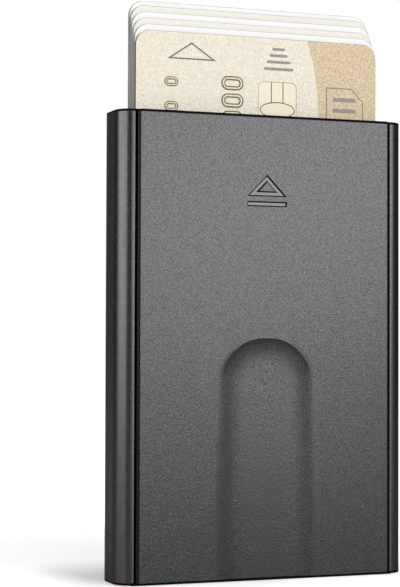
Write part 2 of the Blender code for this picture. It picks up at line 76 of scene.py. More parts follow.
# %% Take a piece in hand, and add a block
def take(piece):
    """Makes one piece the only selected object and the active one."""
    bpy.ops.object.select_all(action="DESELECT")
    piece.select_set(True)
    bpy.context.view_layer.objects.active = piece
    return piece


def settle(name):
    """Names the active object and puts its place and size into its mesh."""
    piece = bpy.context.active_object
    piece.name = name
    piece.data.name = name
    take(piece)
    bpy.ops.object.transform_apply(location=True, rotation=True, scale=True)
    return piece


def add_block(name, low, high):
    """A block between its lowest and its highest corner."""
    low = Vector(low)
    high = Vector(high)
    bpy.ops.mesh.primitive_cube_add(size=1, location=(low + high) / 2, scale=high - low)
    return settle(name)


def add_round(name, middle, radius, length, axis, sides=48):
    """A round bar along one axis, by the middle of its length."""
    turns = {"X": (0, math.pi / 2, 0), "Y": (math.pi / 2, 0, 0), "Z": (0, 0, 0)}
    bpy.ops.mesh.primitive_cylinder_add(vertices=sides, radius=radius, depth=length,
                                        location=middle, rotation=turns[axis])
    return settle(name)


# %% [markdown]
# Edges are chosen in code. A test looks at a corner's place, and an edge or a face
# is picked when all its corners pass. Bevels are then cut in edit mode, and one
# block is cut out of another with a Boolean modifier that is applied at once.

# %% Pick, bevel and cut
def runs_along(mesh, edge, axis):
    """True for an edge that is parallel to an axis."""
    start, end = (mesh.vertices[corner].co for corner in edge.vertices)
    step = end - start
    return abs(step["XYZ".index(axis)]) > 0.999 * step.length


def everywhere(point):
    """The test that every corner passes."""
    return True


def pick(piece, kind, test, along=None):
    """Goes into edit mode with the edges or faces selected whose corners all pass."""
    take(piece)
    bpy.ops.object.mode_set(mode="EDIT")
    bpy.ops.mesh.select_mode(type=kind)
    bpy.ops.mesh.select_all(action="DESELECT")
    bpy.ops.object.mode_set(mode="OBJECT")
    mesh = piece.data
    for part in mesh.edges if kind == "EDGE" else mesh.polygons:
        part.select = all(test(mesh.vertices[corner].co) for corner in part.vertices)
        if along and not runs_along(mesh, part, along):
            part.select = False
    bpy.ops.object.mode_set(mode="EDIT")


def bevel(piece, width, test, steps=3, along=None):
    """Rounds the edges whose two ends pass the test."""
    pick(piece, "EDGE", test, along)
    bpy.ops.mesh.bevel(offset=width, offset_type="OFFSET", segments=steps, profile=0.5,
                       affect="EDGES", clamp_overlap=True)
    bpy.ops.object.mode_set(mode="OBJECT")


def combine(piece, tool, operation="DIFFERENCE"):
    """Cuts a tool out of a piece, or joins it on, and throws the tool away."""
    take(piece)
    bpy.ops.object.modifier_add(type="BOOLEAN")
    modifier = piece.modifiers[-1]
    modifier.operation = operation
    modifier.solver = "EXACT"
    modifier.object = tool
    bpy.ops.object.modifier_apply(modifier=modifier.name)
    bpy.data.objects.remove(tool, do_unlink=True)


def smooth(piece, degrees=32):
    """Smooth shading that keeps flat faces flat and real corners sharp."""
    take(piece)
    bpy.ops.object.shade_smooth_by_angle(angle=math.radians(degrees))
    bpy.ops.object.modifier_add(type="WEIGHTED_NORMAL")
    piece.modifiers[-1].keep_sharp = True
    bpy.ops.object.modifier_apply(modifier=piece.modifiers[-1].name)


hair = 0.01 * mm


def near(value, place, reach=2 * hair):
    """True when a number lies at a place, to within a hair or two."""
    return abs(value - place) < reach


def lies_at(axis, *places):
    """A test for corners that lie at one of some places along an axis."""
    return lambda point: any(near(point["XYZ".index(axis)], place) for place in places)


# %% [markdown]
# A finished piece gets a material, rides on a CAD body, and stands for the CAD
# node that it replaces. The body comes from the frame's record.

# %% Hand a piece over to the frame
bodies = frame["record"]["behaviour"]["bodies"]
body_of = {node: body for body, nodes in bodies.items() for node in nodes}


def finish_piece(piece, material, node, replaces=True):
    """Material and body of a piece that stands for a node, or rides beside it."""
    if material:
        piece.data.materials.clear()
        piece.data.materials.append(material)
    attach(piece, body_of[node])
    if replaces:
        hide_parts(node)
    print(f"{piece.name}: {len(piece.data.polygons)} faces, on {body_of[node]}")
    return piece


# %% [markdown]
# ## Finishes
# A finish is a Principled shader with detail on Object coordinates, which are
# metres here. A noise whose scale is 1 / 0.0003 has lumps of 0.3 mm. One helper
# plugs a value or a link into a socket, and the next adds a node with its inputs
# filled, so that each finish reads as a short list.

# %% Helpers for shader nodes
def plug(owner, value, socket):
    """Links an output to a socket, or sets the socket to a plain value or colour."""
    if isinstance(value, bpy.types.NodeSocket):
        owner.node_tree.links.new(value, socket)
    else:
        socket.default_value = (*value, 1) if socket.type == "RGBA" else value


def add_node(owner, kind, values=None, **settings):
    """A new node in a material or a world, with its settings and its inputs."""
    node = owner.node_tree.nodes.new(kind)
    for setting, value in settings.items():
        setattr(node, setting, value)
    for socket, value in (values or {}).items():
        plug(owner, value, node.inputs[socket])
    return node


def feed(material, socket, value):
    """Plugs a value into the material's Principled shader."""
    plug(material, value, material.node_tree.nodes["Principled BSDF"].inputs[socket])


def start_material(name, colour, roughness, metallic=0.0, **sockets):
    """A Principled material; further sockets are given by name with underscores."""
    material = bpy.data.materials.new(name)
    material.use_nodes = True
    material.diffuse_color = (*colour, 1)
    sockets.update(Base_Color=colour, Roughness=roughness, Metallic=metallic)
    for socket, value in sockets.items():
        feed(material, socket.replace("_", " "), value)
    return material


def object_point(material, stretch=(1, 1, 1)):
    """Object coordinates, drawn out along an axis where stretch is below one."""
    place = add_node(material, "ShaderNodeTexCoord").outputs["Object"]
    return add_node(material, "ShaderNodeMapping", {"Vector": place, "Scale": stretch}).outputs["Vector"]


def noise(material, size, detail=2.0, stretch=(1, 1, 1)):
    """Noise with lumps of a given size in metres; its value runs from 0 to 1."""
    texture = add_node(material, "ShaderNodeTexNoise", {
        "Vector": object_point(material, stretch), "Scale": 1 / size, "Detail": detail})
    return texture.outputs["Fac"]


def spread(owner, value, low, high, start=0.35, end=0.65):
    """Turns a value that runs from start to end into one that runs from low to high."""
    ranger = add_node(owner, "ShaderNodeMapRange", {
        "Value": value, "From Min": start, "From Max": end, "To Min": low, "To Max": high})
    return ranger.outputs["Result"]


# %% [markdown]
# The next helpers are the parts of a finish: bumps, a colour and a roughness that
# wander from lump to lump, and a whole material that is only mottled.

# %% Helpers for finishes
def add_bump(material, heights, strength, depth):
    """A chain of bumps, one for each height, ending in the shader's normal."""
    chain = {}
    for height, share in heights:
        bump = add_node(material, "ShaderNodeBump", {
            "Height": height, "Strength": strength * share, "Distance": depth, **chain})
        chain = {"Normal": bump.outputs["Normal"]}
    feed(material, "Normal", chain["Normal"])


def blend(material, share, first, second):
    """A mix of two colours, given as colours or as links."""
    mix = add_node(material, "ShaderNodeMix", {0: share, 6: first, 7: second}, data_type="RGBA")
    return mix.outputs[2]


def vary_colour(material, lumps, dark, light, start=0.35, end=0.65):
    """Base colour that wanders between two colours from lump to lump of a noise."""
    share = spread(material, lumps, 0, 1, start, end)
    feed(material, "Base Color", blend(material, share, dark, light))


def vary_roughness(material, size, low, high, stretch=(1, 1, 1)):
    """Roughness that wanders between two values from lump to lump."""
    feed(material, "Roughness", spread(material, noise(material, size, 3, stretch), low, high))


def mottled(name, colour, dark, light, size, roughness, metallic=0.0, detail=2):
    """A material whose colour only wanders between two tones."""
    material = start_material(name, colour, roughness, metallic)
    vary_colour(material, noise(material, size, detail), dark, light)
    return material


def scaled(colour, share):
    """A colour made darker or lighter."""
    return tuple(part * share for part in colour)


# %% [markdown]
# ### Anodised aluminium
# The tube is extruded, so faint lines run along it, then blasted and dyed black.
# The dye leaves the metal a dim mirror, and the tint keeps it dim at the edges too.
# Noise drawn out a hundredfold along Z gives the lines.

# %% Anodised aluminium and the painted highlight on its lip
anodised_black = (0.0685, 0.0655, 0.067)
dim_edges = (0.55, 0.55, 0.55)
painted_highlight_grey = (0.13, 0.127, 0.13)
blast_grain = 0.09 * mm
blast_depth = 0.01 * mm

anodised = start_material("anodised_aluminium", anodised_black, 0.33, 1.0, Specular_Tint=dim_edges)
drawn_lines = noise(anodised, 0.35 * mm, stretch=(1, 1, 0.01))
vary_colour(anodised, drawn_lines, scaled(anodised_black, 0.9), scaled(anodised_black, 1.12))
vary_roughness(anodised, 0.9 * mm, 0.27, 0.33)
add_bump(anodised, [(noise(anodised, blast_grain), 1.0), (drawn_lines, 0.4)], 0.12, blast_depth)

# The lip is a lighter grey than the tube: a painted highlight along each rail's inner edge.
lip_highlight_finish = mottled("lip_painted_highlight", painted_highlight_grey, scaled(painted_highlight_grey, 0.82), scaled(painted_highlight_grey, 1.15),
                     0.5 * mm, 0.42, 1.0, 3)
add_bump(lip_highlight_finish, [(noise(lip_highlight_finish, 0.08 * mm), 1.0)], 0.1, blast_depth)

# %% [markdown]
# ### Moulded plastics
# The panels have a fine pebble grain. Two noises, one of about half a millimetre and
# one finer, drive the bump. The coarse one also changes the colour a little, and the
# fine one how strongly each pebble shines. The gloss socket stops at 1, so the panels
# get a higher index of refraction, which leaves room for pebbles that shine more.

# %% Plastics
def moulded(name, colour, roughness, grain, strength, gloss=0.5, gleam=0.1, **sockets):
    """Black plastic with a moulded grain, whose gloss differs from pebble to pebble."""
    material = start_material(name, colour, roughness, Specular_IOR_Level=gloss, **sockets)
    coarse = noise(material, grain)
    fine = noise(material, 0.48 * grain)
    vary_colour(material, coarse, scaled(colour, 0.86), scaled(colour, 1.16))
    shine = spread(material, fine, gloss * (1 - gleam), gloss * (1 + gleam))
    feed(material, "Specular IOR Level", shine)
    add_bump(material, [(coarse, 1.0), (fine, 0.5)], strength, 0.05 * mm)
    return material


panel_black = (0.008, 0.0076, 0.0083)
# This black is darker than the panels' black: painted shade for the dark lines of the bezel, the cap and the
# panel's sides.
shade_darkened_black = (0.003, 0.003, 0.003)
panel_grain = (0.42 * mm, 0.5, 0.61, 0.43)
satin_grain = (0.2 * mm, 0.15)
panel_gloss = {"IOR": 1.6, "Specular_Tint": (0.985, 0.967, 1.0)}
grained_plastic = moulded("grained_panel", panel_black, 0.285, *panel_grain, **panel_gloss)
rear_plastic = moulded("grained_rear_panel", panel_black, 0.32, *panel_grain, **panel_gloss)
bezel_plastic = moulded("satin_bezel_painted_shade", shade_darkened_black, 0.55, *satin_grain, 0.06)
cap_plastic = moulded("satin_cap_painted_shade", shade_darkened_black, 0.55, *satin_grain, 0.06)
# The sign's floor is polished, and its lighter colour is a painted highlight.
sign_polish_and_highlight = moulded("polished_sign_painted_highlight", (0.018, 0.017, 0.018), 0.24, *satin_grain, 0.78, **panel_gloss)
# The sign's walls and deeper lines are near black: painted shade in a real groove.
sign_line_shade = moulded("sign_lines_painted_shade", (0.002, 0.002, 0.002), 0.6, *satin_grain, 0.03)
# The panel's rounded long edges get a darker finish: painted shade from the recess.
edge_shade_plastic = moulded("panel_sides_painted_shade", shade_darkened_black, 0.4, *satin_grain, 0.12)
acetal = moulded("lifter_acetal", (0.05, 0.05, 0.052), 0.4, 0.3 * mm, 0.12)
rubber = moulded("matt_rubber", (0.018, 0.018, 0.018), 0.75, 0.16 * mm, 0.3)
print("finishes so far:", len(bpy.data.materials))

# %% [markdown]
# ### Small metal, felt and tape
# These sit inside, where they show only from behind or when the cards are out.

# %% Inner finishes
button_metal = start_material("button_aluminium", anodised_black, 0.34, 1.0, Specular_Tint=dim_edges)
vary_roughness(button_metal, 0.3 * mm, 0.3, 0.4)
add_bump(button_metal, [(noise(button_metal, blast_grain), 1.0)], 0.12, blast_depth)

spring_steel = start_material("spring_steel", (0.56, 0.55, 0.53), 0.26, 1.0)
vary_roughness(spring_steel, 0.2 * mm, 0.2, 0.36, (1, 1, 0.05))
screw_steel = start_material("screw_steel", (0.5, 0.5, 0.5), 0.3, 1.0)
vary_roughness(screw_steel, 0.15 * mm, 0.24, 0.4)
tape_film = mottled("bonding_tape", (0.46, 0.43, 0.36), (0.40, 0.37, 0.30), (0.52, 0.49, 0.42),
                    1.5 * mm, 0.7, detail=4)

felt = start_material("liner_felt", (0.035, 0.035, 0.038), 0.95, Sheen_Weight=0.4)
fibres = noise(felt, 0.12 * mm, 4, (1, 1, 0.3))
vary_colour(felt, fibres, (0.022, 0.022, 0.024), (0.05, 0.05, 0.054))
add_bump(felt, [(fibres, 1.0)], 0.5, 0.05 * mm)

# %% [markdown]
# ## The extruded shell
# The real tube comes out of one die, so it has the same section all along. Here it
# starts as a block whose four long edges get a wide, oval bevel. Then the two panel
# recesses, the chamber for the cards and the slider's slot are cut out of it.

# %% Shell: block, long edges and recesses
shell_low, shell_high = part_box("body_shell")
front_low, front_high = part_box("front_panel")
back_low, back_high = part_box("back_panel")
liner_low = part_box("front_liner")[0]
rear_liner_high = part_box("back_liner_left")[1]
lifter_low, lifter_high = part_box("card_lifter")
button_low, button_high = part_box("slider_button")
grip_low, grip_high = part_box("slider_grip")

corner_width = 3.0 * mm
corner_depth = 3.3 * mm
rail_width = 3.36 * mm
end_bevel = 0.1 * mm
tape_room = 0.3 * mm
lifter_gap = 0.2 * mm
liner_gap = 0.05 * mm
overrun = 1 * mm
recess_half_width = shell_high.x - rail_width
front_floor_y = front_high.y + tape_room
back_floor_y = back_low.y - tape_room
chamber_half_width = lifter_high.x + lifter_gap
chamber_front_y = liner_low.y - liner_gap
ends = (shell_low.z - overrun, shell_high.z + overrun)


def round_corners(piece):
    """Oval corners: a round bevel is cut while the piece is pressed flatter."""
    for turn, stretch in enumerate((corner_width / corner_depth, corner_depth / corner_width)):
        pick(piece, "FACE", everywhere)
        bpy.ops.transform.resize(value=(1, stretch, 1), center_override=(0, 0, 0))
        bpy.ops.object.mode_set(mode="OBJECT")
        if turn == 0:
            bevel(piece, corner_width, everywhere, 18, along="Z")


shell = add_block("dressed_shell", shell_low, shell_high)
round_corners(shell)
bevel(shell, end_bevel, lies_at("Z", shell_low.z, shell_high.z), 2)
for half_width, start_y, end_y in (
        (recess_half_width, shell_low.y - overrun, front_floor_y),
        (recess_half_width, back_floor_y, shell_high.y + overrun),
        (chamber_half_width, chamber_front_y, rear_liner_high.y + liner_gap)):
    combine(shell, add_block("cut", (-half_width, start_y, ends[0]), (half_width, end_y, ends[1])))
print("shell so far:", len(shell.data.polygons), "faces")

# %% [markdown]
# The slot for the slider's neck is open below and has two small round corners above.
# The four channels near the corners take the pegs of the bezel and of the cap.

# %% Shell: slot, channels and lips
slot_half_width = 3.2 * mm
slot_radius = 1.2 * mm
slot_top_z = lifter_low.z + 6.3 * mm
lip_width = 0.22 * mm
channel_radius = 0.85 * mm
channel_x = shell_high.x - 1.6 * mm
channel_y = shell_high.y - 2.6 * mm
channels = [(side_x * channel_x, side_y * channel_y) for side_x in (-1, 1) for side_y in (-1, 1)]

slot = add_block("cut", (-slot_half_width, chamber_front_y + 2 * overrun, ends[0]),
                 (slot_half_width, back_floor_y + overrun, slot_top_z))
bevel(slot, slot_radius, lies_at("Z", slot_top_z), 6, along="Y")
combine(shell, slot)
for x, y in channels:
    combine(shell, add_round("cut", (x, y, cad_high.z / 2), channel_radius, 2 * cad_high.z, "Z", 24))
bevel(shell, lip_width, lambda point: near(abs(point.x), recess_half_width)
      and near(abs(point.y), shell_high.y), 5, along="Z")
shell.data.materials.append(anodised)
shell.data.materials.append(lip_highlight_finish)
# The narrow faces of the lip get the lighter grey, a painted highlight.
lip_reach = recess_half_width + lip_width + 3 * hair
for face in shell.data.polygons:
    at = face.center
    on_highlight_lip = recess_half_width + 0.1 * hair < abs(at.x) < lip_reach
    if on_highlight_lip and abs(at.y) > shell_high.y - 0.9 * lip_width:
        face.material_index = 1
smooth(shell)
finish_piece(shell, None, "body_shell")

# %% [markdown]
# ## The front panel and its thumb groove
# The groove is a U upside down that runs out at the panel's lower end. Its wall is
# crisp at the top and soft lower down, where its floor rises a little too. A cut-out
# block can't change like that, so a grid is bent round the groove like a horseshoe:
# its columns follow the U from the lower left to the lower right, and its rows step
# from the middle line outwards. The insets say how far inside the rim each row lies.

# %% Sizes of the groove
groove_half_width = 9.72 * mm
groove_widening = 0.55 * mm
widening_reach = 25 * mm
groove_top_z = 49.4 * mm
groove_radius = 8.9 * mm
groove_depth = 0.76 * mm
hollow_share = 0.06
arch_wall = 5.3 * mm
side_wall_start = -1.2 * mm
side_wall_end = 6.2 * mm
side_wall_power = 1.6
groove_fall_share = 0.14
groove_fall_reach = 30 * mm
side_round = 0.56 * mm
panel_reach = front_high.x + 0.46 * mm
straight_columns = 24
corner_columns = 20
crown_columns = 4
insets = [10, 8.5, 7.3, 6.2, 5.4, 4.8, 4.2, 3.7, 3.2, 2.75, 2.35, 2.0, 1.7, 1.4, 1.12, 0.88, 0.66,
          0.46, 0.28, 0.13, 0, -0.15, -0.35, -0.6, -0.85, -1.1]
outer_shares = [0.3, 0.65, 1.0]


def ease(value):
    """Zero below 0, one above 1, and a soft S between."""
    value = min(max(value, 0), 1)
    return value * value * (3 - 2 * value)


# %% [markdown]
# A column is a place on the U: first up the left side, then round the left corner,
# across the crown, and down again. The function gives the point of a column at any
# distance inside the rim, and how much that column belongs to the arch.

# %% Where a column of the horseshoe runs
column_count = 2 * straight_columns + 2 * corner_columns + crown_columns
half_columns = column_count / 2


def groove_point(column, inset):
    """Point (x, z) of a column at an inset from the rim, and the arch's share there."""
    side = -1 if column <= half_columns else 1
    step = min(column, column_count - column)
    half_width = groove_half_width - inset
    radius = max(groove_radius - inset, 0)
    shoulder_z = groove_top_z - inset - radius
    reach = half_width - radius
    if step <= straight_columns:
        z = front_low.z + (shoulder_z - front_low.z) * step / straight_columns
        widening = groove_widening * ease((shoulder_z - z) / widening_reach)
        return side * half_width * (1 + widening / groove_half_width), z, 0
    if step <= straight_columns + corner_columns:
        share = (step - straight_columns) / corner_columns
        angle = share * math.pi / 2
        x = reach + radius * math.cos(angle)
        return side * x, shoulder_z + radius * math.sin(angle), ease(1.25 * share)
    share = (half_columns - step) / (crown_columns / 2)
    return side * reach * share, groove_top_z - inset, 1


def groove_sunk(inset, arch_share):
    """How deep the groove is at an inset inside its rim."""
    steep = min(max(inset / arch_wall, 0), 1)
    arch = math.sqrt(1 - (1 - steep) ** 2)
    run = min(max((inset - side_wall_start) / (side_wall_end - side_wall_start), 0), 1)
    side = ease(1 - (1 - run) ** side_wall_power)
    hollow = 1 - hollow_share + hollow_share * ease(inset / groove_half_width)
    return groove_depth * hollow * (arch_share * arch + (1 - arch_share) * side)


# %% [markdown]
# The outermost row lies on the panel's rectangle. Half of each corner's columns run
# up its side and the other half along its top, so one column meets the sharp corner.

# %% Where a column meets the panel's edge
def edge_point(column):
    """Point (x, z) on the panel's rectangle for a column."""
    side = -1 if column <= half_columns else 1
    step = min(column, column_count - column)
    turn = straight_columns + corner_columns // 2
    if step <= turn:
        return side * panel_reach, front_low.z + (front_high.z - front_low.z) * step / turn
    share = (half_columns - step) / (half_columns - turn)
    return side * panel_reach * share, front_high.z


def panel_point(column, row):
    """Point of the horseshoe grid on the panel's outer face."""
    if row < len(insets):
        inset = insets[row] * mm
        x, z, arch_share = groove_point(column, inset)
        fall = 1 - groove_fall_share * ease((groove_top_z - z) / groove_fall_reach)
        return Vector((x, front_low.y + fall * groove_sunk(inset, arch_share), z))
    share = outer_shares[row - len(insets)]
    start = panel_point(column, len(insets) - 1)
    x, z = edge_point(column)
    return start.lerp(Vector((x, front_low.y, z)), share)


# %% [markdown]
# The grid primitive gives the faces. Each corner of the grid knows its column and
# row from where it starts, and is moved to its place. Then the sheet is extruded
# back to the panel's thickness, and its doubles along the middle line are merged.

# %% Front panel: bend the grid and give it thickness
row_count = len(insets) + len(outer_shares) - 1
bpy.ops.mesh.primitive_grid_add(x_subdivisions=column_count, y_subdivisions=row_count, size=1)
panel = settle("dressed_front_panel")
for vertex in panel.data.vertices:
    column = round((vertex.co.x + 0.5) * column_count)
    row = round((vertex.co.y + 0.5) * row_count)
    vertex.co = panel_point(column, row)
pick(panel, "FACE", everywhere)
bpy.ops.mesh.remove_doubles(threshold=0.001 * mm)
bpy.ops.mesh.dissolve_degenerate(threshold=0.001 * mm)
bpy.ops.mesh.select_all(action="SELECT")
bpy.ops.mesh.extrude_region_move(TRANSFORM_OT_translate={"value": (0, front_high.y - front_low.y, 0)})
bpy.ops.transform.resize(value=(1, 0, 1), center_override=(0, front_high.y, 0))
bpy.ops.mesh.select_all(action="SELECT")
bpy.ops.mesh.normals_make_consistent(inside=False)
bpy.ops.object.mode_set(mode="OBJECT")
print("horseshoe grid:", column_count, "columns and", row_count, "rows")

# %% [markdown]
# The panel's long edges are rounded, and their faces there get a darker finish,
# which is painted shade from the recess. A sign is sunk into the panel above the
# groove: a triangle over a bar, which stands for pushing something out. The triangle
# is a ring, so an island is left standing in its middle. Its floor is polished and a
# lighter colour, which is a painted highlight. A thin, deeper line follows each
# outline. The line and the sign's walls are near black, which is painted shade in a
# real groove, and makes the sign readable on black.

# %% Front panel: edges and the sunk sign
panel_bevel = 0.15 * mm
sign_foot_z = 76.4 * mm
sign_half_width = 4.4 * mm
sign_bar = 1.1 * mm
sign_gap = 1.0 * mm
sign_rise = 4.5 * mm
sign_stroke = 1.1 * mm
sign_depth = 0.3 * mm
sign_line = 0.26 * mm
sign_line_depth = 0.6 * mm


def add_triangle(name, inset, low_y, high_y):
    """The sign's triangle as a prism, drawn in from each side by an inset."""
    slope = math.atan2(sign_rise, sign_half_width)
    half_width = sign_half_width - inset / math.tan(slope / 2)
    foot = sign_foot_z + sign_bar + sign_gap + inset
    prism = add_round(name, (0, (low_y + high_y) / 2, 0), 1, high_y - low_y, "Y", 3)
    for vertex in prism.data.vertices:
        at_peak = abs(vertex.co.x) < 0.1
        vertex.co.z = foot + half_width * math.tan(slope) if at_peak else foot
        vertex.co.x = 0 if at_peak else math.copysign(half_width, vertex.co.x)
    return prism


def add_sign_bar(name, inset, low_y, high_y):
    """The sign's bar as a block, drawn in from each side by an inset."""
    return add_block(name, (inset - sign_half_width, low_y, sign_foot_z + inset),
                     (sign_half_width - inset, high_y, sign_foot_z + sign_bar - inset))


def sink(add_shape, outer, inner, depth):
    """Sinks a shape into the panel between two insets, or all of it without the second."""
    tool = add_shape("cut_sign", outer, front_low.y - overrun, front_low.y + depth)
    if inner:
        combine(tool, add_shape("island", inner, front_low.y - 2 * overrun, front_low.y + 2 * overrun))
    combine(panel, tool)


bevel(panel, side_round, lambda point: near(point.y, front_low.y) and near(abs(point.x), panel_reach), 6)
bevel(panel, panel_bevel, lambda point: near(point.y, front_low.y) and near(point.z, front_high.z), 4)
sink(add_triangle, sign_line / 2, sign_stroke - sign_line / 2, sign_depth)
sink(add_sign_bar, sign_line / 2, None, sign_depth)
sink(add_triangle, 0, sign_line, sign_line_depth)
sink(add_triangle, sign_stroke - sign_line, sign_stroke, sign_line_depth)
sink(add_sign_bar, 0, sign_line, sign_line_depth)

# %% Front panel: finishes by place
sign_low_z = sign_foot_z - sign_bar
sign_high_z = sign_foot_z + 4 * sign_rise
for finish in (grained_plastic, sign_polish_and_highlight, sign_line_shade, edge_shade_plastic):
    panel.data.materials.append(finish)
for face in panel.data.polygons:
    at = face.center
    near_sign = abs(at.x) < 2 * sign_half_width and sign_low_z < at.z < sign_high_z
    if near_sign and front_low.y + hair < at.y < front_high.y - hair:
        # Sign floor: polish with a painted highlight; sign walls and lines: painted shade.
        face.material_index = 1 if near(at.y, front_low.y + sign_depth, hair) else 2
    # The rounded long edges get painted shade.
    if abs(at.x) > panel_reach - 0.98 * side_round:
        face.material_index = 3
smooth(panel)
finish_piece(panel, None, "front_panel")

# %% [markdown]
# ## The back panel
# The back has the same grain. A track for the thumb button runs up from its lower
# end, in a shallow dish that leads the thumb. Both cutters are blocks with their two
# upper corners rounded, and the dish's cutter also has a rounded rim on its floor.

# %% Back panel
track_half_width = 5.8 * mm
track_top_z = button_high.z + 0.3 * mm
track_radius = 2.5 * mm
track_bevel = 0.12 * mm
dish_margin = 3.4 * mm
dish_depth = 0.5 * mm
dish_top_z = track_top_z + dish_margin
dish_reach = track_half_width + dish_margin
dish_floor_y = back_high.y - dish_depth

back = add_block("dressed_back_panel", back_low, back_high)
bevel(back, panel_bevel, lies_at("Y", back_high.y), 4)
dish = add_block("cut_dish", (-dish_reach, dish_floor_y, back_low.z - overrun),
                 (dish_reach, back_high.y + overrun, dish_top_z))
bevel(dish, track_radius + dish_margin, lies_at("Z", dish_top_z), 16, along="Y")
bevel(dish, 0.95 * dish_depth, lies_at("Y", dish_floor_y), 5)
combine(back, dish)
track = add_block("cut_track", (-track_half_width, back_low.y - overrun, back_low.z - overrun),
                  (track_half_width, back_high.y + overrun, track_top_z))
bevel(track, track_radius, lies_at("Z", track_top_z), 10, along="Y")
combine(back, track)
bevel(back, track_bevel, lambda point: near(abs(point.x), track_half_width) and point.z < track_top_z
      and near(point.y, dish_floor_y), 2, along="Z")
smooth(back)
finish_piece(back, rear_plastic, "back_panel")

# %% [markdown]
# ## Bezel and cap
# A thin plastic frame closes the tube's upper end round the mouth, and a thin plate
# its lower end. Each has four pegs that plug into the shell's channels.

# %% Bezel round the mouth
bezel_low, bezel_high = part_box("top_bezel")
cap_low, cap_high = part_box("bottom_cap")
first_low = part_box("card_1")[0]
last_low, last_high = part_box("card_6")
bezel_plate = 0.35 * mm
mouth_x = chamber_half_width - lifter_gap
mouth_gap = 0.3 * mm
mouth_bevel = 0.08 * mm
end_round = 0.2 * mm
peg_gap = 0.1 * mm


def add_pegs(plate, low_z, high_z):
    """Four pegs, joined to a plate at the places of the shell's channels."""
    for x, y in channels:
        peg = add_round("peg", (x, y, (low_z + high_z) / 2), channel_radius - peg_gap,
                        high_z - low_z, "Z", 24)
        combine(plate, peg, "UNION")


def add_end_plate(name, low_z, high_z, edge_z):
    """A plate with the shell's outline and a step over each panel, and one edge rounded."""
    plate = add_block(name, (shell_low.x, shell_low.y, low_z), (shell_high.x, shell_high.y, high_z))
    round_corners(plate)
    steps = add_block("steps", (front_low.x, front_low.y, low_z), (front_high.x, back_high.y, high_z))
    for piece in (plate, steps):
        bevel(piece, end_round, lies_at("Z", edge_z), 3)
    combine(plate, steps, "UNION")
    return plate


def round_the_mouth(point):
    """The test for the mouth's own corners on the bezel's face."""
    return (near(point.z, bezel_high.z) and abs(point.x) < mouth_x + hair
            and abs(point.y) < last_high.y + mouth_gap + hair)


bezel = add_end_plate("dressed_bezel", bezel_high.z - bezel_plate, bezel_high.z, bezel_high.z)
mouth = add_block("cut_mouth", (-mouth_x, first_low.y - mouth_gap, bezel_high.z - 2 * overrun),
                  (mouth_x, last_high.y + mouth_gap, bezel_high.z + overrun))
bevel(mouth, mouth_gap, everywhere, 4, along="Z")
combine(bezel, mouth)
bevel(bezel, mouth_bevel, round_the_mouth, 2)
add_pegs(bezel, bezel_low.z, bezel_high.z - bezel_plate / 2)
smooth(bezel)
# The bezel's near black is black plastic with painted shade, for the dark line along the top.
finish_piece(bezel, bezel_plastic, "top_bezel")

# %% Cap under the base
cap_plate = 0.33 * mm
cap = add_end_plate("dressed_cap", cap_low.z, cap_low.z + cap_plate, cap_low.z)
add_pegs(cap, cap_low.z + cap_plate / 2, cap_high.z)
smooth(cap)
# The cap's near black is black plastic with painted shade, for the dark line at the foot.
finish_piece(cap, cap_plastic, "bottom_cap")

# %% [markdown]
# ## The slider
# The thumb button is a small anodised plate. Its neck passes through the slot to the
# lifter inside, and a ribbed rubber pad covers its face and its two screws.

# %% Thumb button
button_radius = 2.2 * mm
button_bevel = 0.12 * mm
button_face_y = grip_low.y - 0.1 * mm
button_plate = 0.9 * mm
neck_half_width = 3.0 * mm
neck_radius = 1.0 * mm
neck_low_z = lifter_low.z + 1 * mm
neck_high_z = neck_low_z + 5 * mm
screw_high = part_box("slider_screw_left")[1]
screw_x = 1.5 * mm
screw_z = (neck_low_z + neck_high_z) / 2
hole_radius = 0.7 * mm
hole_length = 8 * mm
seat_radius = 1.15 * mm
seat_depth = 0.45 * mm

button = add_block("dressed_button", (button_low.x, button_face_y - button_plate, button_low.z),
                   (button_high.x, button_face_y, button_high.z))
bevel(button, button_radius, everywhere, 10, along="Y")
bevel(button, button_bevel, lies_at("Y", button_face_y), 3)
neck = add_block("neck", (-neck_half_width, button_low.y, neck_low_z),
                 (neck_half_width, button_face_y - button_plate / 2, neck_high_z))
bevel(neck, neck_radius, everywhere, 6, along="Y")
combine(button, neck, "UNION")
for x in (-screw_x, screw_x):
    hole = add_round("cut_hole", (x, button_face_y - overrun, screw_z), hole_radius, hole_length, "Y", 24)
    combine(button, hole)
    seat = add_round("cut_seat", (x, screw_high.y + overrun - seat_depth, screw_z), seat_radius,
                     2 * overrun, "Y", 32)
    combine(button, seat)
smooth(button)
finish_piece(button, button_metal, "slider_button")

# %% [markdown]
# One rib is modelled, and the others are copies of it, each with its own mesh.

# %% Ribbed grip
grip_radius = 1.6 * mm
grip_base = 0.25 * mm
grip_bevel = 0.08 * mm
rib_count = 7
rib_side_margin = 0.7 * mm
rib_end_margin = 1.6 * mm
rib_bevel = 0.14 * mm

